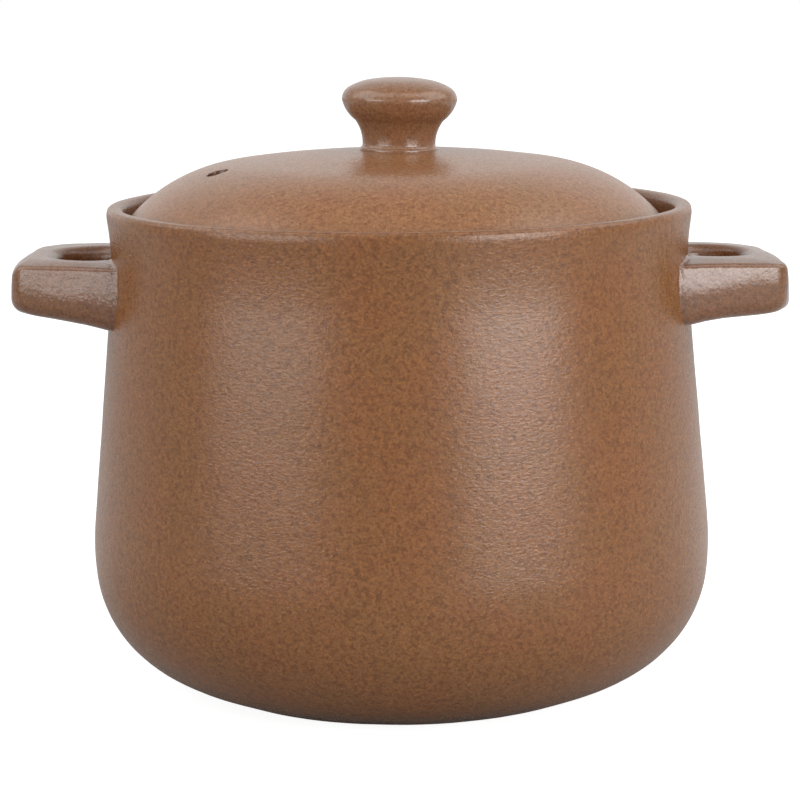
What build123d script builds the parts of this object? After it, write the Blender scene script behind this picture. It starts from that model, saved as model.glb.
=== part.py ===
from build123d import *
import os
from math import atan2, cos, hypot, pi, remainder, sqrt, tan

# A stoneware sand pot for slow cooking: a turned pot with two loop handles luted to its neck,
# and a domed lid that lifts off by a turned knob. Everything is fired clay.
# Millimetres, +Z up. The origin is the middle of the foot, on the surface that the pot stands on.
# The handles point along -X (left) and +X (right), and the front faces -Y.

# Pot body, outside: corners of the turned outline, each set in from the belly, and the rounds on them
belly_radius = 125.6
belly_height = 55.0
haunch_set_in = 3.8
haunch_height = 15.7
foot_radius = 84.0
neck_set_in = 10.8
neck_drop = 21.0
lip_flare = 2.2
rim_height = 192.0
foot_edge_round = 2.0
haunch_round = 48.0
belly_round = 98.0
neck_round = 121.0
lip_outer_round = 3.6
round_fit_share = 0.999

# Pot body, inside
wall = 8.0
floor_thickness = 10.0
floor_round = 26.0
foot_ring_width = 14.0
foot_recess = 2.0
foot_ring_round = 0.8
lip_thickness = 7.0
lip_inner_round = 2.8

# Gallery inside the rim that the lid sits in, and the ledge under it
gallery_depth = 10.0
gallery_corner_round = 1.5
ledge_width = 9.0
ledge_thickness = 6.0
ledge_nose_round = 2.0
ledge_flare_height = 11.0
ledge_flare_round = 8.0

# Lid
lid_edge_clearance = 2.0
lid_edge_height = 3.0
lid_edge_round = 1.2
lid_rise = 31.4
lid_thickness = 7.0
shoulder_start_share = 0.611
shoulder_drop = 4.55
flange_clearance = 2.0
flange_thickness = 5.0
flange_depth = 8.0
flange_round = 1.6

# Steam vent through the lid, on the left towards the front
vent_diameter = 8.0
vent_inset = 16.0
vent_bearing = 202.6

# Knob on the crown of the lid
knob_height = 28.6
knob_radius = 23.0
knob_neck_radius = 14.4
knob_foot_flare = 1.2
knob_crown_drop = 3.7
knob_crown_share = 0.85
knob_widest_share = 0.695
knob_waist_share = 0.40
knob_underside_bow_share = 0.115
knob_waist_radius_share = 0.37
knob_neck_share = 0.09

# Loop handles
handle_projection = 41.2
handle_depth = 82.0
handle_top_drop = 20.5
handle_tip_height = 19.0
handle_root_height = 23.8
handle_corner_round = 21.5
handle_end_slope = 9.0
handle_end_share = 0.85
handle_top_round = 7.0
handle_bottom_round = 4.5
handle_round_limit_share = 0.4
finger_hole_depth = 38.0
finger_hole_corner_share = 0.95
finger_hole_root_round = 9.0
finger_hole_root_bite = 2.5
finger_hole_edge_round = 3.0
handle_bar_thickness = 17.5

# One overrun for every cut that runs past its solid
overrun = 20.0

haunch_radius = belly_radius - haunch_set_in
neck_radius = belly_radius - neck_set_in
neck_height = rim_height - neck_drop
rim_radius = neck_radius + lip_flare
gallery_radius = rim_radius - lip_thickness
ledge_height = rim_height - gallery_depth
ledge_radius = gallery_radius - ledge_width
lid_radius = gallery_radius - lid_edge_clearance
lid_crown_height = ledge_height + lid_rise
flange_radius = ledge_radius - flange_clearance
flange_inner_radius = flange_radius - flange_thickness
knob_top_height = lid_crown_height + knob_height
handle_top_height = rim_height - handle_top_drop
handle_tip = neck_radius + handle_projection


def turned(outline):
    """Solid of revolution about the upright axis, from a closed outline of radius and height."""
    return revolve(Plane.XZ * make_face(outline), Axis.Z)


def inset_line(start, end, distance):
    """A line moved sideways to the left of its direction, as a point on it and its direction."""
    run, rise = end[0] - start[0], end[1] - start[1]
    length = hypot(run, rise)
    point = (start[0] - distance * rise / length, start[1] + distance * run / length)
    return point, (run / length, rise / length)


def crossing(first, second):
    """The point where two lines cross, each given as a point on it and its direction."""
    (px, py), (ux, uy) = first
    (qx, qy), (vx, vy) = second
    along = ((qx - px) * vy - (qy - py) * vx) / (ux * vy - uy * vx)
    return px + along * ux, py + along * uy


def level(height):
    """A level line at a height."""
    return (0, height), (1, 0)


def rounded(corners, rounds):
    """A closed outline with rounded corners, each round as large as its two sides leave room for."""
    following = [*corners[1:], corners[0]]
    sides = [(after[0] - here[0], after[1] - here[1]) for here, after in zip(corners, following)]
    headings = [atan2(rise, run) for run, rise in sides]
    turns = [remainder(heading - headings[place - 1], 2 * pi) for place, heading in enumerate(headings)]
    reaches = [tan(abs(turn) / 2) * size for turn, size in zip(turns, rounds)]
    room_shares = [
        round_fit_share * hypot(*side) / max(reach + after, round_fit_share * hypot(*side))
        for side, reach, after in zip(sides, reaches, [*reaches[1:], reaches[0]])
    ]
    limit_shares = [min(share, room_shares[place - 1]) for place, share in enumerate(room_shares)]
    radius = [size * share for size, share in zip(rounds, limit_shares)]
    return FilletPolyline(*corners, close=True, radius=radius)


# The outside of the pot, from the foot up to the lip
outer_corners = [
    (foot_radius, 0),
    (haunch_radius, haunch_height),
    (belly_radius, belly_height),
    (neck_radius, neck_height),
    (rim_radius, rim_height),
]
outer_rounds = [foot_edge_round, haunch_round, belly_round, neck_round, lip_outer_round]


def pot_blank():
    """The pot's outside as a filled solid, which the handles are cut to meet."""
    return turned(rounded([(0, 0), *outer_corners, (0, rim_height)], [0, *outer_rounds, 0]))


def pot_body():
    """The turned pot: wall, floor with its foot ring, and the gallery and ledge for the lid."""
    foot, haunch, belly, neck, rim = outer_corners
    haunch_wall = inset_line(foot, haunch, wall)
    belly_wall = inset_line(haunch, belly, wall)
    upper_wall = inset_line(belly, neck, wall)
    under_ledge = ledge_height - ledge_thickness
    inner_corners = [
        (gallery_radius, rim_height),
        (gallery_radius, ledge_height),
        (ledge_radius, ledge_height),
        (ledge_radius, under_ledge),
        crossing(upper_wall, level(under_ledge - ledge_flare_height)),
        crossing(belly_wall, upper_wall),
        crossing(haunch_wall, belly_wall),
        crossing(haunch_wall, level(floor_thickness)),
        (0, floor_thickness),
    ]
    inner_rounds = [
        lip_inner_round,
        gallery_corner_round,
        ledge_nose_round,
        ledge_nose_round,
        ledge_flare_round,
        belly_round - wall,
        haunch_round - wall,
        floor_round,
        0,
    ]
    ring_inner = foot_radius - foot_ring_width
    base_corners = [(0, foot_recess), (ring_inner - foot_recess, foot_recess), (ring_inner, 0)]
    base_rounds = [0, foot_ring_round, foot_ring_round]
    corners = [*base_corners, *outer_corners, *inner_corners]
    return turned(rounded(corners, [*base_rounds, *outer_rounds, *inner_rounds]))


def dome_curves(depth):
    """The lid's crown arc at a depth under its outer surface, where it ends, and the shoulder's circle."""
    shoulder_start = shoulder_start_share * lid_radius
    crown_curve = (shoulder_start**2 + shoulder_drop**2) / (2 * shoulder_drop)
    start = Vector(shoulder_start, lid_crown_height - shoulder_drop)
    end = Vector(lid_radius, ledge_height + lid_edge_height)
    # The shoulder's circle touches the crown's at the start and passes through the lid's edge
    chord = start - end
    outward = Vector(shoulder_start / crown_curve, 1 - shoulder_drop / crown_curve)
    shoulder_curve = chord.length**2 / (2 * chord.dot(outward))
    centre = start - outward * shoulder_curve
    meeting = centre + outward * (shoulder_curve - depth)
    crown = RadiusArc((0, lid_crown_height - depth), meeting, crown_curve - depth)
    return crown, meeting, centre, shoulder_curve - depth


def shoulder_height(radius, depth):
    """Height of the lid's shoulder at a radius, at a depth under its outer surface."""
    _, _, centre, curve = dome_curves(depth)
    return centre.Y + sqrt(curve**2 - (radius - centre.X) ** 2)


def shoulder_arc(radius, depth):
    """The lid's shoulder from its crown out to a radius, at a depth under its outer surface."""
    _, meeting, centre, curve = dome_curves(depth)
    end = Vector(radius, shoulder_height(radius, depth))
    middle = (meeting + end) * 0.5 - centre
    return ThreePointArc(meeting, centre + middle.normalized() * curve, end)


def lid_blank():
    """The lid's outside as a filled solid, which the knob is cut to meet."""
    edge_top = (lid_radius, shoulder_height(lid_radius, 0))
    sides = FilletPolyline(
        edge_top, (lid_radius, ledge_height), (0, ledge_height), radius=[lid_edge_round]
    )
    axis = Line((0, ledge_height), (0, lid_crown_height))
    return turned(Curve() + [dome_curves(0)[0], shoulder_arc(lid_radius, 0), sides, axis])


def lid_dome():
    """The lid: an even dome, a flat seat on the ledge, a ring that drops into the mouth, and the vent."""
    edge_top = (lid_radius, shoulder_height(lid_radius, 0))
    inner_top = (flange_inner_radius, shoulder_height(flange_inner_radius, lid_thickness))
    flange_foot = ledge_height - flange_depth
    sides = FilletPolyline(
        edge_top,
        (lid_radius, ledge_height),
        (flange_radius, ledge_height),
        (flange_radius, flange_foot),
        (flange_inner_radius, flange_foot),
        inner_top,
        radius=[lid_edge_round, 0, flange_round, flange_round],
    )
    axis = Line((0, lid_crown_height - lid_thickness), (0, lid_crown_height))
    outline = Curve() + [
        dome_curves(0)[0],
        shoulder_arc(lid_radius, 0),
        sides,
        shoulder_arc(flange_inner_radius, lid_thickness),
        dome_curves(lid_thickness)[0],
        axis,
    ]
    vent_place = Rot(0, 0, vent_bearing) * Pos(flange_inner_radius - vent_inset, 0, ledge_height)
    vent = vent_place * Cylinder(
        vent_diameter / 2,
        lid_rise + overrun,
        align=(Align.CENTER, Align.CENTER, Align.MIN),
    )
    return turned(outline) - vent


def lid_knob():
    """The turned knob, with a flat crown, a rolled edge and a waisted neck that flares on to the lid."""
    crown_end = Vector(knob_crown_share * knob_radius, knob_top_height - knob_crown_drop)
    crown_curve = (crown_end.X**2 + knob_crown_drop**2) / (2 * knob_crown_drop)
    crown_heading = Vector(crown_end.Y - knob_top_height + crown_curve, -crown_end.X)
    widest = (knob_radius, lid_crown_height + knob_widest_share * knob_height)
    waist_radius = knob_neck_radius + knob_waist_radius_share * (knob_radius - knob_neck_radius)
    waist = (waist_radius, lid_crown_height + knob_waist_share * knob_height)
    neck = (knob_neck_radius, lid_crown_height + knob_neck_share * knob_height)
    foot_flare_top = Vector(knob_neck_radius + knob_foot_flare, lid_crown_height)
    crown = RadiusArc((0, knob_top_height), crown_end, crown_curve)
    upper_edge = TangentArc(crown_end, widest, tangent=crown_heading)
    underside_height = (knob_widest_share - knob_waist_share) * knob_height
    underside = SagittaArc(widest, waist, knob_underside_bow_share * underside_height)
    neck_curve = TangentArc(neck, waist, tangent=(0, 1))
    flare = TangentArc(neck, foot_flare_top, tangent=(0, -1))
    base = Polyline(
        foot_flare_top,
        (foot_flare_top.X, lid_crown_height - shoulder_drop),
        (0, lid_crown_height - shoulder_drop),
        (0, knob_top_height),
    )
    outline = Curve() + [crown, upper_edge, underside, neck_curve, flare, base]
    return turned(outline) - lid_blank()


def handle_plan():
    """The handle seen from above: straight arms, rounded corners and a bowed end."""
    half_depth = handle_depth / 2
    lean = atan2(handle_end_slope, half_depth)
    end_length = half_depth / cos(lean)
    corner_run = handle_corner_round * tan((pi / 2 - lean) / 2)
    end_round = handle_end_share * (end_length - corner_run) / tan(lean)
    point = handle_tip + end_round * (1 / cos(lean) - 1)
    corner = point - handle_end_slope
    root = neck_radius - overrun
    return FilletPolyline(
        (root, -half_depth),
        (corner, -half_depth),
        (point, 0),
        (corner, half_depth),
        (root, half_depth),
        close=True,
        radius=[0, handle_corner_round, end_round, handle_corner_round, 0],
    )


def finger_hole_plan():
    """The finger hole seen from above: round at its outer end and drawn in where the arms meet the pot."""
    half_depth = finger_hole_depth / 2
    outer = handle_tip - handle_bar_thickness
    root = neck_radius - finger_hole_root_bite
    root_round = min(finger_hole_root_round, (outer - root) / 3)
    outer_round = min(finger_hole_corner_share * half_depth, outer - root - root_round)
    return FilletPolyline(
        (root, -half_depth),
        (outer, -half_depth),
        (outer, half_depth),
        (root, half_depth),
        close=True,
        radius=[root_round, outer_round, outer_round, root_round],
    )


def level_top(loop):
    """The handle's level top face."""
    return loop.faces().sort_by(lambda face: face.normal_at().Z)[-1]


def underside(loop):
    """The handle's flat face that points down most, which rises a little to the tip."""
    return loop.faces().sort_by(lambda face: face.normal_at().Z)[0]


def clear_of_root(edge):
    """Whether an edge of the handle lies outside the pot's wall."""
    return edge.center().X > neck_radius - overrun / 2


def handle_right(blank):
    """One loop handle: a level top, an underside that rises to the tip, and a finger hole through it."""
    root = neck_radius - overrun
    far = handle_tip + overrun
    deepest = handle_top_height - handle_root_height
    rise = (handle_root_height - handle_tip_height) / handle_projection
    profile = make_face(
        Polyline(
            (root, handle_top_height),
            (far, handle_top_height),
            (far, deepest + rise * (far - neck_radius)),
            (root, deepest + rise * (root - neck_radius)),
            close=True,
        )
    )
    slab = extrude(Plane.XZ * profile, amount=handle_depth, both=True)
    height = handle_root_height + overrun
    plan_level = Pos(0, 0, handle_top_height - height)
    loop = slab & plan_level * extrude(make_face(handle_plan()), amount=height + overrun)
    largest_round = handle_round_limit_share * handle_tip_height
    bottom_round = min(handle_bottom_round, largest_round)
    top_round = min(handle_top_round, largest_round)
    hole_round = min(finger_hole_edge_round, largest_round)
    loop = fillet(underside(loop).edges().filter_by(clear_of_root), bottom_round)
    loop = fillet(level_top(loop).edges().filter_by(clear_of_root), top_round)
    loop -= plan_level * extrude(make_face(finger_hole_plan()), amount=height + overrun)
    hole_rims = [*level_top(loop).inner_wires(), *underside(loop).inner_wires()]
    loop = fillet([edge for rim in hole_rims for edge in rim.edges()], hole_round)
    return loop - blank


def write(name, shape):
    """Writes one node's STEP file."""
    export_step(shape, os.path.join("parts", name + ".step"))
    print(name, "volume", round(shape.volume), "mm3")


os.makedirs("parts", exist_ok=True)
blank = pot_blank()
right = handle_right(blank)
write("pot_body", pot_body())
write("handle_right", right)
write("handle_left", mirror(right, about=Plane.YZ))
write("lid_dome", lid_dome())
write("lid_knob", lid_knob())
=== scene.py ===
# %% [markdown]
# # A stoneware sand pot
# A sand pot is a clay cooking pot: a turned body, two loop handles luted to its neck, and a domed lid
# with a turned knob. The CAD model gives every size, so it is loaded first as a fixed frame, and each
# visible piece is then modelled around it by hand-like steps. The sizes of the pieces are typed in
# millimetres and multiplied by mm, and those of the camera, the lamps and the floor are in metres.

# %% Load the frame
from math import atan2, ceil, cos, degrees, hypot, pi, radians, sin, sqrt, tan

import bmesh
import bpy
from mathutils import Matrix, Vector
from mathutils.geometry import intersect_line_line_2d


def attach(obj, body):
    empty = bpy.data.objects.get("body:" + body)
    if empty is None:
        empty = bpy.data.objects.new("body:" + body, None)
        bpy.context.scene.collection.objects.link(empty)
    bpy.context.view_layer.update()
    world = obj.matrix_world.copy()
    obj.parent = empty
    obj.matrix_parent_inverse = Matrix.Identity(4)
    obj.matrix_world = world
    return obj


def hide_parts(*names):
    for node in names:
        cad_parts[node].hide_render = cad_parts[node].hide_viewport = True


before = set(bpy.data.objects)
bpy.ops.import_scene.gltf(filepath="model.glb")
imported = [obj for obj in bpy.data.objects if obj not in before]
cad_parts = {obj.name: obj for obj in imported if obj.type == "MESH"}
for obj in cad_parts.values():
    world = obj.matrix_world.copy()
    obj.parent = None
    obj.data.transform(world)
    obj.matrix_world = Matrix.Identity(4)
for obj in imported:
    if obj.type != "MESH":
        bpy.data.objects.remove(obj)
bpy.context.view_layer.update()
mm = 0.001

# %% [markdown]
# ## The camera
# The photograph was taken with a long lens from a little above the rim. A long lens keeps the sides of
# the pot almost parallel. The camera was also turned by half a degree, which is why the pot seems to
# lean to the left: turning the camera, and not the pot, keeps the model upright.

# %% Place the camera
camera_place = Vector((0, -1.0, 0.2847))
camera_target = Vector((0, 0, 0.1114))
camera_roll = radians(-0.45)
camera_data = bpy.data.cameras.new("camera")
camera_data.sensor_width = 36
camera_data.lens = 112.2
camera_data.shift_x = -0.0006
camera = bpy.data.objects.new("camera", camera_data)
bpy.context.scene.collection.objects.link(camera)
camera.location = camera_place
facing = (camera_target - camera_place).to_track_quat("-Z", "Y").to_matrix()
camera.rotation_euler = (facing @ Matrix.Rotation(camera_roll, 3, "Z")).to_euler()
bpy.context.scene.camera = camera
bpy.context.scene.view_settings.view_transform = "Standard"
print("the camera looks down by", round(90 - degrees(camera.rotation_euler.x), 1), "degrees")

# %% [markdown]
# ## Drawing lines by hand
# Every piece here starts as an outline. In Blender a line can be drawn by extruding a single corner
# again and again, just as a user presses E and moves the mouse. The plane primitive gives that first
# corner once its four corners are merged into one.

# %% Begin a piece and draw its outline


def select_only(piece):
    """Deselects everything else, and makes this the active piece."""
    bpy.ops.object.select_all(action="DESELECT")
    bpy.context.view_layer.objects.active = piece
    piece.select_set(True)


def open_new(name):
    """Names the primitive that was just added, and opens it in edit mode with all of it selected."""
    piece = bpy.context.object
    piece.name = name
    piece.data.name = name
    bpy.ops.object.mode_set(mode="EDIT")
    bpy.ops.mesh.select_all(action="SELECT")
    return piece


def begin(name):
    """Adds a small plane as a new piece, and merges it into the one corner that a line is drawn from."""
    bpy.ops.object.select_all(action="DESELECT")
    bpy.ops.mesh.primitive_plane_add(size=mm)
    piece = open_new(name)
    bpy.ops.mesh.merge(type="CENTER")
    return piece


def draw(points):
    """Moves the selected corner to the first of these points and extrudes it along the rest."""
    bpy.ops.transform.translate(value=Vector(points[0]) * mm)
    for here, there in zip(points, points[1:]):
        move = (Vector(there) - Vector(here)) * mm
        bpy.ops.mesh.extrude_region_move(TRANSFORM_OT_translate={"value": move})


# %% [markdown]
# Clay has no sharp corners. An outline is therefore given as its corners with a round for each, and
# this helper puts an arc in every corner and extra points on the long straight runs, so that the later
# faces stay even.

# %% Soften an outline
fewest_round_steps = 4


def soften(corners, spacing):
    """Points along a line of corners (across, up, round), no further apart than the spacing."""
    line = [Vector(corners[0][:2])]
    for before, corner, after in zip(corners, corners[1:], corners[2:]):
        arriving = Vector(corner[:2]) - Vector(before[:2])
        leaving = Vector(after[:2]) - Vector(corner[:2])
        heading = Vector((1, 0)).angle_signed(arriving) * -1
        turn = arriving.angle_signed(leaving) * -1
        size = corner[2]
        side = 1 if turn > 0 else -1
        start = Vector(corner[:2]) - arriving.normalized() * size * tan(abs(turn) / 2)
        centre = start + Vector((-sin(heading), cos(heading))) * side * size
        count = max(fewest_round_steps, ceil(abs(turn) * size / spacing)) if size else 0
        for step in range(count + 1):
            angle = heading + turn * step / max(count, 1)
            line.append(centre + Vector((sin(angle), -cos(angle))) * side * size)
    line.append(Vector(corners[-1][:2]))
    even = [line[0]]
    for here, there in zip(line, line[1:]):
        count = max(1, ceil((there - here).length / spacing))
        even += [here.lerp(there, step / count) for step in range(1, count + 1)]
    return even


# %% [markdown]
# ## The potter's wheel
# The body, the lid and the knob were turned, so each is half an outline spun once round the upright
# axis. Spin leaves a double line where it ends and many corners on the axis: merging by distance closes
# both, and the normals are then made to point outwards.

# %% Turn an outline on the wheel
merge_reach = 0.02


def face_outwards(piece):
    """Turns the faces of the piece in edit mode outwards, leaves that mode and shades it smooth."""
    bpy.ops.mesh.select_all(action="SELECT")
    bpy.ops.mesh.normals_make_consistent(inside=False)
    bpy.ops.object.mode_set(mode="OBJECT")
    bpy.ops.object.shade_smooth()
    print(piece.name, "has", len(piece.data.polygons), "faces")


def turn_on_wheel(name, outline, sectors):
    """A turned piece from an outline of radius and height."""
    piece = begin(name)
    draw([(radius, 0, height) for radius, height in outline])
    bpy.ops.mesh.select_all(action="SELECT")
    bpy.ops.mesh.spin(steps=sectors, angle=2 * pi, center=(0, 0, 0), axis=(0, 0, 1))
    bpy.ops.mesh.select_all(action="SELECT")
    bpy.ops.mesh.remove_doubles(threshold=merge_reach * mm)
    face_outwards(piece)
    return piece


# %% [markdown]
# Hand-turned clay is never quite even. A Displace modifier with a soft cloud texture moves the wall by
# about a tenth of a millimetre, which is too little to see in the outline but makes the highlights swim
# as they do on the real pot. It works mostly inwards, so that the piece doesn't outgrow its size, and
# it is applied, so that the mesh itself carries the relief.

# %% Make a surface uneven


def make_uneven(piece, lump_size, depth, where=""):
    """Sinks the surface in lumps of this size and depth, all over or where a vertex group says."""
    clouds = bpy.data.textures.new(piece.name + " lumps", "CLOUDS")
    clouds.noise_scale = lump_size * mm
    clouds.noise_depth = 1
    lumps = piece.modifiers.new("lumps", "DISPLACE")
    lumps.texture = clouds
    lumps.texture_coords = "LOCAL"
    lumps.strength = depth * mm
    lumps.mid_level = 0.75
    lumps.vertex_group = where
    select_only(piece)
    bpy.ops.object.modifier_apply(modifier=lumps.name)


# %% [markdown]
# ## The pot
# The outline runs from under the foot, round the haunch and up the wall to the lip, and then down
# inside: the gallery that the lid sinks into, the ledge that carries it, the inner wall and the floor.
# It is one closed shell with real thickness, because the inside shows as soon as the lid is lifted. A
# narrow band at the top of the lip leans back by about eleven degrees: the photograph has a bright line
# there, which such a band explains. Each corner is given by its radius, its height and its round.

# %% Turn the pot
pot_under = [(0, 2, 0), (68, 2, 0.8), (70, 0.03, 0.8)]
pot_outside = [(84, 0.03, 2), (121.8, 15.7, 48), (125.6, 55, 98), (114.8, 171, 121)]
pot_lip = [(117.0, 188.9, 9), (116.4, 192, 1.8)]
pot_rim_inside = [(110, 192, 2.8), (110, 182, 1.5), (101, 182, 2), (101, 176, 2), (107.32, 165, 8)]
pot_inside = [(117.56, 55.01, 90), (114.3, 21.25, 40), (87.22, 10, 26), (0, 10, 0)]
pot_line = soften(pot_under + pot_outside + pot_lip + pot_rim_inside + pot_inside, spacing=1.9)
pot = turn_on_wheel("pot_turned", pot_line, sectors=272)
make_uneven(pot, lump_size=26, depth=0.22)
make_uneven(pot, lump_size=7, depth=0.07)
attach(pot, "pot")
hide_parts("pot_body")

# %% [markdown]
# ## The lid
# The top of the lid is two arcs: a very flat crown and a rounder shoulder that meets it almost without
# a kink. An arc between two points is fixed by its sagitta, the height of the bow over the straight
# line, and a potter's rib gives just such curves.

# %% Bow a line
fewest_arc_steps = 3


def bow(start, end, sagitta, spacing):
    """Points of an arc from start to end that bows out to the left of its direction by the sagitta."""
    start, end = Vector(start), Vector(end)
    chord = end - start
    curve = (chord.length_squared / 4 + sagitta**2) / (2 * abs(sagitta))
    to_left = Vector((-chord.y, chord.x)).normalized() * (1 if sagitta > 0 else -1)
    centre = (start + end) / 2 + to_left * (abs(sagitta) - curve)
    sweep = (start - centre).angle_signed(end - centre)
    count = max(fewest_arc_steps, ceil(abs(sweep) * curve / spacing))
    arc = []
    for step in range(count + 1):
        arm = (start - centre).to_3d()
        arm.rotate(Matrix.Rotation(-sweep * step / count, 3, "Z"))
        arc.append(centre + arm.to_2d())
    return arc


# %% [markdown]
# Under the dome the lid has a flat seat for the ledge, and a ring that drops into the mouth and keeps
# the lid centred. The seat and the ring are drawn straight, with small rounds.

# %% Turn the lid
crown_top, crown_end, lid_edge = (0, 213.4), (66.0, 208.85), (108, 185)
inner_edge, inner_crown_end, inner_top = (94, 189.2), (65.04, 201.92), (0, 206.4)
crown = bow(crown_top, crown_end, sagitta=1.136, spacing=2.2)
shoulder = bow(crown_end, lid_edge, sagitta=4.48, spacing=2.0)
seat_corners = [(108, 182, 1.2), (99, 182, 0.4), (99, 174, 1.6), (94, 174, 1.6)]
seat = soften([(*lid_edge, 0), *seat_corners, (*inner_edge, 0)], spacing=1.6)
inner_shoulder = bow(inner_edge, inner_crown_end, sagitta=-2.13, spacing=3)
inner_crown = bow(inner_crown_end, inner_top, sagitta=-1.118, spacing=4)
lid_line = crown[:-1] + shoulder + seat[1:-1] + inner_shoulder + inner_crown[1:]
lid = turn_on_wheel("lid_turned", lid_line, sectors=288)

# %% [markdown]
# The steam vent has a slightly wider mouth, as a rod leaves it when it is pushed through soft clay. The
# cutter is therefore turned too, with a flare at the top, and a Boolean modifier takes it away from the
# lid.

# %% Pierce the vent
vent_place = (-68.7, -29.92, 0)
vent_radius, mouth_radius = 3.9, 4.3
vent_below, vent_above = 180, 216
vent_corners = [
    (0, vent_below, 0), (vent_radius, vent_below, 0), (vent_radius, 205.5, 2),
    (mouth_radius, 208.5, 0), (mouth_radius, vent_above, 0), (0, vent_above, 0),
]
vent_cutter = turn_on_wheel("vent_cutter", soften(vent_corners, spacing=0.6), sectors=48)
bpy.ops.transform.translate(value=Vector(vent_place) * mm)
hole = lid.modifiers.new("vent", "BOOLEAN")
hole.operation = "DIFFERENCE"
hole.object = vent_cutter
select_only(lid)
bpy.ops.object.modifier_apply(modifier=hole.name)
bpy.data.objects.remove(vent_cutter)
print("the lid with its vent has", len(lid.data.polygons), "faces")

# %% [markdown]
# In the photograph the lid doesn't sit in the middle of the mouth: it lies a little to the left, which
# the play round its ring allows. The knob was luted a little off the middle of the dome and leans by a
# hair. Both are moved in edit mode, so that the finished pieces keep their origin on the axis of the
# pot.

# %% Shift the lid
lid_shift = (-1.8, 0, 0)


def move_all(piece, shift, lean=0.0, about=(0, 0, 0)):
    """Moves all corners of a piece, and leans it clockwise as seen from the front."""
    select_only(piece)
    bpy.ops.object.mode_set(mode="EDIT")
    bpy.ops.mesh.select_all(action="SELECT")
    bpy.ops.transform.translate(value=Vector(shift) * mm)
    if lean:
        turn = Matrix.Rotation(lean, 3, "Y")
        mesh = bmesh.from_edit_mesh(piece.data)
        bmesh.ops.rotate(mesh, cent=Vector(about) * mm, matrix=turn, verts=mesh.verts)
        bmesh.update_edit_mesh(piece.data)
    bpy.ops.object.mode_set(mode="OBJECT")
    top = max(piece.data.vertices, key=lambda corner: corner.co.z)
    print(piece.name, "has its highest corner at x", round(top.co.x / mm, 2))


move_all(lid, lid_shift)
make_uneven(lid, lump_size=24, depth=0.2)
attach(lid, "lid")
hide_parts("lid_dome")

# %% [markdown]
# ## The knob
# The knob is a little mushroom with a nearly flat crown, a rolled edge, a waist, and a foot that flares
# on to the lid. It was turned apart and stuck on with slip, so a thin raised ring of slip runs round
# its foot.

# %% Turn the knob
knob_crown = bow((0, 242.0), (12, 241.0), sagitta=0.25, spacing=1.2)
knob_shoulder = bow((12, 241.0), (20.2, 238.0), sagitta=0.4, spacing=0.9)
knob_roll = bow((20.2, 238.0), (23.1, 233.28), sagitta=0.7, spacing=0.5)
knob_underside = bow((23.1, 233.28), (17.7, 224.84), sagitta=0.97, spacing=0.8)
knob_waist = bow((17.7, 224.84), (14.6, 215.97), sagitta=-0.75, spacing=0.7)
knob_foot = [(14.6, 215.4), (14.7, 214.9), (14.9, 214.5), (15.05, 214.3)]
knob_slip = [(15.2, 214.15), (15.4, 214.1), (15.55, 213.9), (15.65, 213.6), (15.7, 213.1)]
knob_base = [(15.5, 210.0), (0, 210.0)]
knob_line = knob_crown[:-1] + knob_shoulder + knob_roll[1:] + knob_underside[1:] + knob_waist[1:]
knob = turn_on_wheel("knob_turned", knob_line + knob_foot + knob_slip + knob_base, sectors=144)
move_all(knob, shift=(0.15, 0, 0), lean=radians(1.2), about=(0, 0, 213))
make_uneven(knob, lump_size=9, depth=0.1)
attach(knob, "lid")
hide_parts("lid_knob")

# %% [markdown]
# ## The loop handles
# A handle is a thick bar of clay bent into a loop. It is modelled as the potter bends it: one
# cross-section is extruded again and again round the loop. Each section lies on a ray from the finger
# hole's outline to the outside of the handle, so the bar is as wide as the plan says everywhere. Seen
# from above, the hole has round ends, and the front arm isn't square to the wall: it comes in towards
# the tip, by 14 mm on the left handle and by 12 mm on the right one. That angle was chosen so that each
# face mirrors its softbox as in the photograph.

# %% Draw the handle's plan
wall_radius = 115.2
root_round_centre, root_round = (123.5, 7.0), 12.0
ray_length = 80


def reach(outside, inner, direction):
    """Where a ray from the finger hole meets the outside of the handle."""
    far = inner + direction * ray_length
    for here, there in zip(outside, outside[1:]):
        hit = intersect_line_line_2d(inner, far, here, there)
        if hit:
            return hit
    raise ValueError("the ray misses the handle")


# %% [markdown]
# The rays stand close together at the roots, where a small fillet of slip will need them, and turn
# round the end of the finger hole after that.

# %% Lay out the rays
arm_rays, end_rays = 30, 72
crowding = 1.15


def half_rays(form, corners):
    """Inner and outer ends of the rays from the root of one arm to the middle of the loop."""
    outside = soften(corners, spacing=0.8)
    root, knuckle = Vector(corners[0][:2]), Vector(corners[1][:2])
    hole_half = root_round_centre[1] + root_round
    end_round = form["hole_end"] - root_round_centre[0]
    end_centre = Vector((root_round_centre[0], end_round - hole_half))
    rays = []
    for step in range(arm_rays + 1):
        share = (step / arm_rays) ** crowding
        across = root_round_centre[0] - root_round * (1 - share)
        inward = sqrt(root_round**2 - (root_round_centre[0] - across) ** 2)
        along_arm = share * (root_round_centre[0] - root.x) / (knuckle.x - root.x)
        rays.append((Vector((across, -root_round_centre[1] - inward)), root.lerp(knuckle, along_arm)))
    for step in range(1, end_rays + 1):
        angle = radians(-90 + 90 * step / end_rays)
        direction = Vector((cos(angle), sin(angle)))
        inner = end_centre + direction * end_round
        rays.append((inner, reach(outside, inner, direction)))
    return rays


def loop_rays(form):
    """All the rays of the loop: the front arm's, then the back arm's mirrored and reversed."""
    corners = form["corners"]
    front = half_rays(form, corners)
    mirrored = [(across, -depth, size) for across, depth, size in reversed(corners)]
    back = [(Vector((a.x, -a.y)), Vector((b.x, -b.y))) for a, b in reversed(half_rays(form, mirrored))]
    return front + back


print("the fingers get", round(root_round_centre[1] + root_round) * 2, "mm in a handle")

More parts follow.
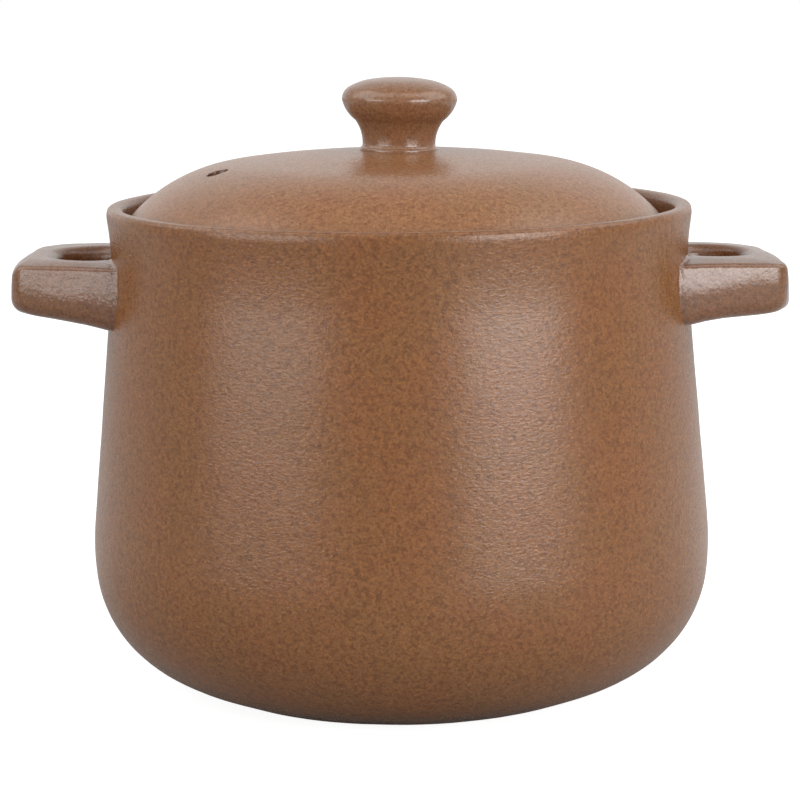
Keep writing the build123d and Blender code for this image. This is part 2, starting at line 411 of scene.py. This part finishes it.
# %% [markdown]
# The section is a block with a round on each of its four edges. Each of its points is kept as a
# distance from the finger hole, a share of the bar's height, and an offset from there, so that one list
# serves the whole loop while its width, height and rounds change.

# %% Shape the section
round_steps = 8
# steps down the outer face, along the underside, up the face of the finger hole and along the top
side_steps = (14, 7, 5, 7)


def round_points(across, share, offset, size, first):
    """Points of the round on one edge of the bar, a quarter turn from the first angle on."""
    angles = [radians(first - 90 * step / round_steps) for step in range(round_steps + 1)]
    return [(across + size * cos(angle), share, offset + size * sin(angle)) for angle in angles]


def section_points(width, rounds):
    """Points round the bar's section: distance from the hole, share of the height, offset in height."""
    outer_top, outer_bottom, inner_bottom, inner_top = rounds
    edges = [
        round_points(width - outer_top, 1, -outer_top, outer_top, 90),
        round_points(width - outer_bottom, 0, outer_bottom, outer_bottom, 0),
        round_points(inner_bottom, 0, inner_bottom, inner_bottom, -90),
        round_points(inner_top, 1, -inner_top, inner_top, -180),
    ]
    points = []
    for edge, following, count in zip(edges, edges[1:] + edges[:1], side_steps):
        points += edge
        for step in range(1, count):
            points.append(tuple(a + (b - a) * step / count for a, b in zip(edge[-1], following[0])))
    return points


section_count = 4 * round_steps + sum(side_steps)
print("each section has", section_count, "points")

# %% [markdown]
# The sizes that both handles share get names first. An angle round the loop is 0 at the front, 90 at
# the tip and 180 at the back, and says where an arm turns into the tip. The rounds are those of the
# section's four edges. The next lines say how the top falls, droops and lifts, how far the outer edge
# lies below the edge of the finger hole, and from which share of the width on the outer face leans. The
# last ones are for the tuck under the ridge line, and for the part of the fillet that the rounds get.

# %% Name the sizes that both handles share
fillet = 1.4
tip_from, tip_turn = 48, 24
back_from, back_turn = 120, 50
crisp_round, arm_round = 1.6, 5.5
hole_bottom_round, hole_top_round, hole_top_growth = 3.0, 2.6, 2.4
fall_from, fall_length, fall_power = 118, 38, 1.5
droop_depth, lift_depth = 38, 41
edge_drop, edge_power, tip_relief = 1.1, 2.2, 0.7
outer_from, outer_turn = 0.35, 0.5
tuck_below, tuck_softness = 1.5, 3
push_on_rounds = 0.6

# %% [markdown]
# The two handles were shaped by hand and differ a little. The top of each falls towards the tip and its
# long sides, and the underside follows a row of heights measured out from the axis of the pot. The
# outer top edge is a crisp ridge along the front arm and opens into a large round at the tip, where the
# hand presses. Above a ridge line the outer face leans back, by 5.5 degrees on the left handle and 9 on
# the right one, with a soft change of slope, and on the arms it tucks in below that line. Such a small
# lean decides what a satin glaze mirrors: the leaning part shows the softbox as a bright field and the
# part below it stays brown. Where the bar meets the wall, the slip that holds it was wiped into a small
# hollow fillet: every point near the wall is pushed outwards along the section, by what a quarter
# circle would add there.

# %% Shape one section of a handle


def height_along(row, across):
    """The second value of a row of pairs, such as distance and height, read at a value of the first."""
    for (near, low), (far, high) in zip(row, row[1:]):
        if across <= far:
            return low + (high - low) * max(0, across - near) / (far - near)
    return row[-1][1]


def fillet_push(gap):
    """How far the fillet of slip lifts a surface at a gap from the wall."""
    if gap >= fillet:
        return 0
    return fillet - sqrt(fillet**2 - (fillet - max(gap, 0)) ** 2)


def ease(value):
    """A smooth step from 0 to 1."""
    value = min(1, max(0, value))
    return value * value * (3 - 2 * value)


def section_rounds(at_tip, at_back, form):
    """Rounds of the outer top, outer bottom, inner bottom and inner top edge at a place of the loop."""
    tip_round, tip_bottom = form["tip_round"], form["tip_bottom_round"]
    outer_top = crisp_round + (tip_round - crisp_round) * at_tip + (arm_round - tip_round) * at_back
    outer_bottom = arm_round + (tip_bottom - arm_round) * at_tip * (1 - at_back)
    return outer_top, outer_bottom, hole_bottom_round, hole_top_round + hole_top_growth * at_tip


def top_height(plan, form):
    """Height of the top over a place in the plan."""
    fall = form["fall"] * max(0, (plan.x - fall_from) / fall_length) ** fall_power
    droop = form["droop"] * (plan.y / droop_depth) ** 2
    return form["top"] - fall - droop + form["back_lift"] * plan.y / lift_depth


def soft_beyond(amount, softness):
    """The amount where it is positive and 0 where it is negative, with a soft change between."""
    return (amount + hypot(amount, softness)) / 2


def shape_section(ring, inner, outer, form):
    """Moves one ring of corners to its section of the bar."""
    direction = (outer - inner).normalized()
    width = (outer - inner).length
    from_front = degrees(atan2(direction.y, direction.x)) + 90
    at_tip = ease((from_front - tip_from) / tip_turn)
    at_back = ease((from_front - back_from) / back_turn)
    rounds = section_rounds(at_tip, at_back, form)
    for corner, (along, share, offset) in zip(ring, section_points(width, rounds)):
        plan = inner + direction * along
        drop = edge_drop * (along / width) ** edge_power * (1 - tip_relief * at_tip)
        top = top_height(plan, form) - drop
        bottom = height_along(form["underside"], plan.x)
        height = bottom + (top - bottom) * share + offset
        push = fillet_push(plan.length - wall_radius)
        on_side = abs(share - 0.5) < 0.45
        outer_share = ease((along / width - outer_from) / outer_turn)
        if on_side or abs(offset) < 0.7 * rounds[0]:
            plan = plan + direction * (2 * outer_share - 1) * push * (1 if on_side else push_on_rounds)
        if not on_side:
            height += (1 if share > 0.5 else -1) * push
        over = height - height_along(form["ridge"], plan.x)
        bend = form["face_slope"] * soft_beyond(over, form["ridge_round"])
        tuck = form["under_slope"] * soft_beyond(tuck_below - over, tuck_softness) * (1 - at_tip)
        plan = plan - direction * (bend + tuck) * outer_share
        corner.co = Vector((form["side"] * plan.x, plan.y, height)) * mm


# %% [markdown]
# The bar starts as a circle primitive, with as many corners as the section. It is moved to the first
# section, and then extruded in place and moved to the next one, all the way round.

# %% Bend a handle


def bend_handle(name, form):
    """A loop handle whose open ends are buried in the wall of the pot."""
    bpy.ops.object.select_all(action="DESELECT")
    bpy.ops.mesh.primitive_circle_add(vertices=section_count, radius=10 * mm)
    piece = open_new(name)
    for place, (inner, outer) in enumerate(loop_rays(form)):
        if place:
            bpy.ops.mesh.extrude_edges_move(TRANSFORM_OT_translate={"value": (0, 0, 0)})
        mesh = bmesh.from_edit_mesh(piece.data)
        mesh.verts.ensure_lookup_table()
        shape_section(mesh.verts[-section_count:], inner, outer, form)
        bmesh.update_edit_mesh(piece.data)
    return piece


# %% [markdown]
# Both handles are bent the same way, each from its own list of sizes. Their open ends are buried in the
# wall of the pot, and are closed with a face each so that the mesh is a solid.

# %% Bend both handles
left_form = {
    "side": -1, "hole_end": 137.0, "top": 172.6, "fall": 0.3, "back_lift": 1.2, "droop": 0.3,
    "tip_round": 7.2, "tip_bottom_round": 4.6,
    "face_slope": tan(radians(5.5)), "ridge_round": 6, "under_slope": tan(radians(8)),
    "corners": [(103, -39.5, 0), (153.0, -25.6, 8), (156.6, -5, 60), (152, 38, 20), (103, 41.4, 0)],
    "underside": [
        (100, 143.8), (113, 144.7), (117.3, 145.6), (124.1, 147.0), (130.8, 148.0),
        (137.6, 149.0), (144.4, 149.9), (149.5, 150.9), (160, 152.0),
    ],
    "ridge": [(100, 154.5), (112, 153.5), (125, 154), (137, 156.5), (150, 158)],
}
right_form = {
    "side": 1, "hole_end": 138.5, "top": 172.2, "fall": 1.8, "back_lift": 0.15, "droop": 0.5,
    "tip_round": 7.2, "tip_bottom_round": 3.4,
    "face_slope": tan(radians(9)), "ridge_round": 4, "under_slope": tan(radians(6)),
    "corners": [(103, -43.0, 0), (152.8, -31.0, 8), (156.5, -6, 60), (152, 37.5, 18), (103, 41.4, 0)],
    "underside": [
        (100, 145.1), (113.6, 146.2), (119.3, 147.2), (127, 148.1), (134.2, 148.5),
        (141.5, 148.9), (147.6, 149.4), (160, 149.9),
    ],
    "ridge": [(100, 158), (118, 158.8), (128, 160.8), (137, 162), (148, 162.5), (160, 162.5)],
}


def close_ends(piece):
    """Fills the open ends of a bent bar, and turns all faces outwards."""
    bpy.ops.mesh.select_all(action="DESELECT")
    bpy.ops.mesh.select_non_manifold(extend=False, use_wire=False, use_boundary=True)
    bpy.ops.mesh.edge_face_add()
    face_outwards(piece)


# %% [markdown]
# Where a handle was luted on, slip was pressed out and left a grainy, pitted seam. A vertex group marks
# the corners near the wall, and a finer Displace modifier works only there.

# %% Make the handles
seam_width = 4.5
handles = []
for name, node, form, seam_depth in [
    ("handle_bent_left", "handle_left", left_form, 0.6),
    ("handle_bent_right", "handle_right", right_form, 1.0),
]:
    handle = bend_handle(name, form)
    close_ends(handle)
    seam = handle.vertex_groups.new(name="seam")
    for corner in handle.data.vertices:
        gap = hypot(corner.co.x, corner.co.y) / mm - wall_radius
        seam.add([corner.index], 1 - ease(gap / seam_width), "REPLACE")
    make_uneven(handle, lump_size=16, depth=0.4)
    make_uneven(handle, lump_size=1.1, depth=seam_depth, where="seam")
    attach(handle, "pot")
    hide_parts(node)
    handles.append(handle)

# %% [markdown]
# ## Fired clay as a material
# The glaze is thin, satin and speckled. Several finishes share its speckle and its orange-peel skin, so
# each of those is a node group with named inputs. A group only puts out colours, masks and heights: the
# Principled shader stays in each material.

# %% Helpers for nodes


def new_group(name, inputs, outputs):
    """A shader node group with float or colour sockets, and its input and output nodes."""
    group = bpy.data.node_groups.new(name, "ShaderNodeTree")
    for label, kind, value in inputs:
        socket = group.interface.new_socket(name=label, in_out="INPUT", socket_type=kind)
        if value is not None:
            socket.default_value = value
    for label, kind in outputs:
        group.interface.new_socket(name=label, in_out="OUTPUT", socket_type=kind)
    return group, group.nodes.new("NodeGroupInput"), group.nodes.new("NodeGroupOutput")


def add_node(tree, kind, links=(), **values):
    """A node with its settings, and links from other sockets into its inputs."""
    node = tree.nodes.new(kind)
    for key, value in values.items():
        setattr(node, key, value)
    for key, value in dict(links).items():
        if isinstance(value, bpy.types.NodeSocket):
            tree.links.new(value, node.inputs[key])
        else:
            node.inputs[key].default_value = value
    return node


def mix_colours(tree, share, first, second, blend="MIX"):
    """The colour between two others."""
    links = {0: share, 6: first, 7: second}
    return add_node(tree, "ShaderNodeMix", links, data_type="RGBA", blend_type=blend).outputs[2]


def stretch(tree, value, low, high, to_low=0.0, to_high=1.0):
    """Maps a range of a value to another range, and stops at its ends."""
    links = {0: value, 1: low, 2: high, 3: to_low, 4: to_high}
    return add_node(tree, "ShaderNodeMapRange", links, clamp=True).outputs[0]


def calculate(tree, operation, *values):
    """The result of a Math node."""
    return add_node(tree, "ShaderNodeMath", dict(enumerate(values)), operation=operation).outputs[0]


def noise(tree, place, scale, detail, roughness=0.5, distortion=0.0):
    """Soft random spots, as many to a metre as the scale says."""
    links = {"Vector": place, "Scale": scale, "Detail": detail}
    links |= {"Roughness": roughness, "Distortion": distortion}
    return add_node(tree, "ShaderNodeTexNoise", links).outputs[0]


# %% [markdown]
# The speckle has three layers: wide clouds that turn the colour a little warmer or cooler, a mottle of
# grains one to two millimetres across, and sparse dark specks where iron came through the glaze.

# %% Speckle group
group, speckle_in, speckle_out = new_group(
    "speckle",
    [
        ("Vector", "NodeSocketVector", None),
        ("Dark", "NodeSocketColor", (0.15, 0.06, 0.025, 1)),
        ("Light", "NodeSocketColor", (0.35, 0.17, 0.08, 1)),
        ("Contrast", "NodeSocketFloat", 1.0),
    ],
    [("Color", "NodeSocketColor"), ("Grain", "NodeSocketFloat")],
)
place = speckle_in.outputs["Vector"]
fine = noise(group, place, scale=1150.0, detail=1.5, roughness=0.6)
coarse = noise(group, place, scale=520.0, detail=2.0, roughness=0.55)
clouds = noise(group, place, scale=42.0, detail=2.0)
dark_specks = noise(group, place, scale=520.0, detail=1.0)
grain = stretch(group, calculate(group, "ADD", fine, coarse), 0.66, 1.34)
centred = calculate(group, "SUBTRACT", grain, 0.5)
contrasted = calculate(group, "MULTIPLY_ADD", centred, speckle_in.outputs["Contrast"], 0.5)
mottle = mix_colours(group, contrasted, speckle_in.outputs["Dark"], speckle_in.outputs["Light"])
cool_tint, warm_tint, iron = (0.975, 1.01, 1.01, 1), (1.025, 0.99, 0.99, 1), (0.09, 0.045, 0.025, 1)
tint = mix_colours(group, stretch(group, clouds, 0.35, 0.65), cool_tint, warm_tint)
tinted = mix_colours(group, 1.0, mottle, tint, "MULTIPLY")
spotted = mix_colours(group, stretch(group, dark_specks, 0.63, 0.70, 0.0, 0.45), tinted, iron)
group.links.new(spotted, speckle_out.inputs["Color"])
group.links.new(grain, speckle_out.inputs["Grain"])
speckle = group
print("the speckle group has", len(speckle.nodes), "nodes")

# %% [markdown]
# The skin of the glaze is like orange peel, with short ripples that run round the wall where the clay
# was sponged on the wheel. A noise whose height is multiplied by more than its other two directions is
# squeezed flat, and that gives ripples. A finer grit is added to them.

# %% Orange-peel group
group, peel_in, peel_out = new_group(
    "orange peel",
    [
        ("Vector", "NodeSocketVector", None),
        ("Ripple", "NodeSocketFloat", 2.4),
        ("Scale", "NodeSocketFloat", 430.0),
    ],
    [("Height", "NodeSocketFloat")],
)
place, grit_share = peel_in.outputs["Vector"], 0.3
split = add_node(group, "ShaderNodeSeparateXYZ", {0: place})
squeezed = calculate(group, "MULTIPLY", split.outputs[2], peel_in.outputs["Ripple"])
sides = {0: split.outputs[0], 1: split.outputs[1], 2: squeezed}
flat = add_node(group, "ShaderNodeCombineXYZ", sides).outputs[0]
ripples = noise(group, flat, scale=peel_in.outputs["Scale"], detail=3.0, roughness=0.55, distortion=0.4)
grit = noise(group, place, scale=1100.0, detail=1.0)
group.links.new(calculate(group, "MULTIPLY_ADD", grit, grit_share, ripples), peel_out.inputs["Height"])
orange_peel = group
print("the orange peel group has", len(orange_peel.nodes), "nodes")

# %% [markdown]
# ## The finishes
# Six finishes come from these groups. Four were matched to the photograph: the satin brown of the wall,
# a slightly lighter one for the lid, and glossier ones for the knob and the handles, the knob being
# lighter and the handles darker. The lighter colours of the lid and the knob are painted light: they
# stand in for light that falls on these top pieces from above. The other two are guesses, because the
# photograph hides those places: a smoother, darker glaze inside the pot and the lid, and bare fired clay
# on the foot, the ledge and the seat, which potters wipe clean so that the pieces don't stick in the
# kiln. The darker glaze also lines the steam vent, where it is painted shade.

# %% Helper for a finish


def clay_finish(name, dark, light, contrast, roughness, ripple, peel_depth, specular):
    """A fired-clay material from the speckle and orange-peel groups."""
    material = bpy.data.materials.new(name)
    material.use_nodes = True
    tree = material.node_tree
    tree.nodes.clear()
    place = add_node(tree, "ShaderNodeTexCoord").outputs["Object"]
    spots = add_node(tree, "ShaderNodeGroup", node_tree=speckle)
    skin = add_node(tree, "ShaderNodeGroup", node_tree=orange_peel)
    for key, value in (("Dark", dark), ("Light", light), ("Contrast", contrast)):
        spots.inputs[key].default_value = value
    skin.inputs["Ripple"].default_value = ripple
    tree.links.new(place, spots.inputs["Vector"])
    tree.links.new(place, skin.inputs["Vector"])
    relief = {"Height": skin.outputs[0], "Distance": peel_depth * mm, "Strength": 1.0}
    bump = add_node(tree, "ShaderNodeBump", relief)
    low, high = roughness
    uneven = stretch(tree, spots.outputs["Grain"], 0.0, 1.0, low, high)
    shader = add_node(
        tree,
        "ShaderNodeBsdfPrincipled",
        {"Base Color": spots.outputs["Color"], "Roughness": uneven, "Normal": bump.outputs[0]},
    )
    shader.inputs["Specular IOR Level"].default_value = specular
    add_node(tree, "ShaderNodeOutputMaterial", {"Surface": shader.outputs[0]})
    return material


# %% [markdown]
# Each finish is one call: its dark and light colour, how strongly these contrast, the roughness on dark
# and on light grain, how flat the ripples are squeezed, the depth of the skin in millimetres, and the
# specular level.

# %% Mix the six finishes
brown_stoneware = clay_finish(
    "brown stoneware", dark=(0.143, 0.052, 0.0155, 1), light=(0.274, 0.112, 0.036, 1),
    contrast=1.5, roughness=(0.30, 0.26), ripple=2.4, peel_depth=0.16, specular=0.58,
)
# The lid's colours are lighter than the wall's: painted light, standing in for light that falls on the
# dome from above.
lid_stoneware_painted_light = clay_finish(
    "lid stoneware painted light", dark=(0.188, 0.077, 0.030, 1), light=(0.352, 0.163, 0.070, 1),
    contrast=1.4, roughness=(0.30, 0.26), ripple=2.4, peel_depth=0.16, specular=0.52,
)
# The knob's colours are lighter than the wall's: painted light, standing in for light from above.
knob_stoneware_painted_light = clay_finish(
    "knob stoneware painted light", dark=(0.162, 0.066, 0.028, 1), light=(0.308, 0.144, 0.066, 1),
    contrast=1.2, roughness=(0.25, 0.21), ripple=1.0, peel_depth=0.1, specular=0.85,
)
handle_stoneware = clay_finish(
    "handle stoneware", dark=(0.122, 0.046, 0.016, 1), light=(0.232, 0.099, 0.041, 1),
    contrast=1.4, roughness=(0.25, 0.20), ripple=1.0, peel_depth=0.15, specular=0.78,
)
# This darker glaze is also put in the lid's steam vent, where it is painted shade.
inner_glaze_and_vent_shade = clay_finish(
    "inner glaze and vent shade", dark=(0.09, 0.032, 0.012, 1), light=(0.17, 0.070, 0.030, 1),
    contrast=0.7, roughness=(0.16, 0.26), ripple=1.6, peel_depth=0.1, specular=0.5,
)
bare_clay = clay_finish(
    "bare clay", dark=(0.36, 0.21, 0.12, 1), light=(0.55, 0.37, 0.24, 1),
    contrast=0.8, roughness=(0.75, 0.9), ripple=1.0, peel_depth=0.16, specular=0.3,
)

# %% [markdown]
# A piece may carry more than one finish. The first covers all of it, and faces are then given another
# by their place and the way they face.

# %% Give each piece its finish


def finish_with(piece, finishes, choose=None):
    """Gives a piece its finishes. choose(centre, facing) says which one a face gets, in millimetres."""
    for finish in finishes:
        piece.data.materials.append(finish)
    if choose:
        for face in piece.data.polygons:
            face.material_index = choose(face.center / mm, face.normal)


# height and radius of a line that runs inside the thickness of the pot's wall
mid_wall = [(0, 60), (9, 100), (20, 110), (40, 119), (55, 121), (165, 111), (192, 108)]


def pot_finish(centre, facing):
    """0 brown outside, 1 glazed inside, 2 bare clay on the foot ring and the ledge."""
    radius, height = hypot(centre.x, centre.y), centre.z
    on_foot_ring = height < 0.6
    in_recess = height < 2.6 and radius < 82
    on_ledge = facing.z > 0.9 and 176 < height < 184 and radius < 109.5
    if on_foot_ring or in_recess or on_ledge:
        return 2
    above_floor = height > 5
    return 1 if above_floor and radius < height_along(mid_wall, height) else 0


def lid_finish(centre, facing):
    """0 brown painted lighter outside, 1 glaze under the dome and painted shade in the vent, 2 bare clay
    on the seat.
    """
    radius, height = hypot(centre.x - lid_shift[0], centre.y), centre.z
    # the vent gets the darker glaze as painted shade
    vent_painted_shade = hypot(centre.x - vent_place[0] - lid_shift[0], centre.y - vent_place[1]) < mouth_radius
    on_seat = height < 182.4 and facing.z < -0.8 and radius > 98.5
    under_dome = facing.z < 0.2 and radius < 95
    if on_seat:
        return 2
    return 1 if vent_painted_shade or under_dome else 0


finish_with(pot, [brown_stoneware, inner_glaze_and_vent_shade, bare_clay], pot_finish)
finish_with(lid, [lid_stoneware_painted_light, inner_glaze_and_vent_shade, bare_clay], lid_finish)
finish_with(knob, [knob_stoneware_painted_light])
for handle in handles:
    finish_with(handle, [handle_stoneware])

# %% [markdown]
# ## The studio
# The glaze in the photograph mirrors two softboxes, one each side of the camera, and the right one is
# brighter. A softbox is brighter in some parts than in others, so each is built from two strips, a low
# one and a middle one, whose strengths were set by comparing the highlights on the wall, the knob and
# the handles. A dim lamp high in front brightens the lid, and two large dim ones at the sides stand for
# the walls of the studio. The floor and the world are white for the camera, and dimmer for the light
# that they throw back.

# %% Set up the lamps
lamp_target = Vector((0, 0, 0.15))


def softbox(name, azimuth, elevation, distance, width, height, radiance):
    """An area lamp aimed at the pot, with its strength given as the brightness of its face."""
    lamp_data = bpy.data.lights.new(name, "AREA")
    lamp_data.shape = "RECTANGLE"
    lamp_data.size, lamp_data.size_y = width, height
    lamp_data.energy = radiance * pi * width * height
    lamp = bpy.data.objects.new(name, lamp_data)
    bpy.context.scene.collection.objects.link(lamp)
    turn, lift = radians(azimuth), radians(elevation)
    direction = Vector((sin(turn) * cos(lift), -cos(turn) * cos(lift), sin(lift)))
    lamp.location = lamp_target + direction * distance
    lamp.rotation_euler = (lamp_target - lamp.location).to_track_quat("-Z", "Y").to_euler()


# name, azimuth, elevation, distance, width, height, brightness of its face
for lamp in [
    ("softbox right low", 41, 2.0, 1.0, 0.65, 0.18, 4.2),
    ("softbox right middle", 41, 12.5, 1.0, 0.65, 0.19, 7.2),
    ("softbox left low", -49, 2.5, 1.0, 0.76, 0.16, 3.0),
    ("softbox left middle", -49, 12.5, 1.0, 0.76, 0.19, 3.1),
    ("high front", 0, 60, 1.3, 1.4, 0.6, 0.95),
    ("side right", 85, 42, 1.2, 1.1, 1.0, 1.5),
    ("side left", -85, 42, 1.2, 1.1, 1.0, 1.5),
]:
    softbox(*lamp)

# %% [markdown]
# The white surroundings are not lamps. They show only to the rays that come straight from the camera,
# and to those that the glaze mirrors: both are told apart by the Light Path node. Rays that carry soft
# light find a dimmer room, so the white never washes out the clay. The mirrored part is kept to the
# side behind the pot, where a studio hangs its sheet of paper: that turns the tops of the lid and the
# handles grey, as they are in the photograph.

# %% Choose which rays see white


def sees_white(tree, place, start, end, share):
    """1 for camera rays. For mirrored ones it rises to this share as depth goes from start to end."""
    path = add_node(tree, "ShaderNodeLightPath")
    depth = add_node(tree, "ShaderNodeSeparateXYZ", {0: place}).outputs[1]
    behind = stretch(tree, depth, start, end, 0.0, share)
    glossy, passing = path.outputs["Is Glossy Ray"], path.outputs["Is Transmission Ray"]
    mirrored = calculate(tree, "MAXIMUM", glossy, passing)
    on_sheet = calculate(tree, "MULTIPLY", mirrored, behind)
    return calculate(tree, "MAXIMUM", path.outputs["Is Camera Ray"], on_sheet)


# %% [markdown]
# The floor is a wide grey disc, darker on the left, where the photograph shows less light thrown back
# on to the pot. For those rays its material adds a white glow, a little weaker near the pot, so that it
# reads as a white sweep and still keeps a soft shadow.

# %% Lay the floor
floor_left, floor_right = 0.38, 0.54
white_colour = (1, 1, 1, 1)
bpy.ops.object.select_all(action="DESELECT")
bpy.ops.mesh.primitive_circle_add(vertices=96, radius=6.0, fill_type="NGON", location=(0, 0, 0))
floor = bpy.context.object
floor.name = "floor"
white = bpy.data.materials.new("white sweep")
white.use_nodes = True
tree = white.node_tree
tree.nodes.clear()
place = add_node(tree, "ShaderNodeTexCoord").outputs["Object"]
across = add_node(tree, "ShaderNodeSeparateXYZ", {0: place}).outputs[0]
grey = stretch(tree, across, 0.0, 0.15, floor_left, floor_right)
matt = add_node(tree, "ShaderNodeBsdfDiffuse", {"Color": grey})
from_pot = add_node(tree, "ShaderNodeVectorMath", {0: place}, operation="LENGTH")
fade = stretch(tree, from_pot.outputs[1], 0.16, 0.6, 0.9, 1.0)
glow = add_node(tree, "ShaderNodeEmission", {"Color": white_colour, "Strength": fade})
both = add_node(tree, "ShaderNodeAddShader", {0: matt.outputs[0], 1: glow.outputs[0]})
white_here = sees_white(tree, place, -0.1, 0.15, 0.3)
seen = add_node(tree, "ShaderNodeMixShader", {0: white_here, 1: matt.outputs[0], 2: both.outputs[0]})
add_node(tree, "ShaderNodeOutputMaterial", {"Surface": seen.outputs[0]})
floor.data.materials.append(white)

# %% [markdown]
# The world is a plain dim room for the soft light on the clay. It is white where the camera looks at
# it, and nearly white where the glaze mirrors the part behind the pot.

# %% Surround the pot with a white room
room_light, sheet_light = 0.47, 1.0
world = bpy.data.worlds.new("studio")
bpy.context.scene.world = world
world.use_nodes = True
tree = world.node_tree
tree.nodes.clear()
direction = add_node(tree, "ShaderNodeTexCoord").outputs["Generated"]
room = add_node(tree, "ShaderNodeBackground", {"Color": white_colour, "Strength": room_light})
shown = add_node(tree, "ShaderNodeBackground", {"Color": white_colour, "Strength": sheet_light})
white_here = sees_white(tree, direction, 0.4, 0.8, 0.85)
seen = add_node(tree, "ShaderNodeMixShader", {0: white_here, 1: room.outputs[0], 2: shown.outputs[0]})
add_node(tree, "ShaderNodeOutputWorld", {"Surface": seen.outputs[0]})
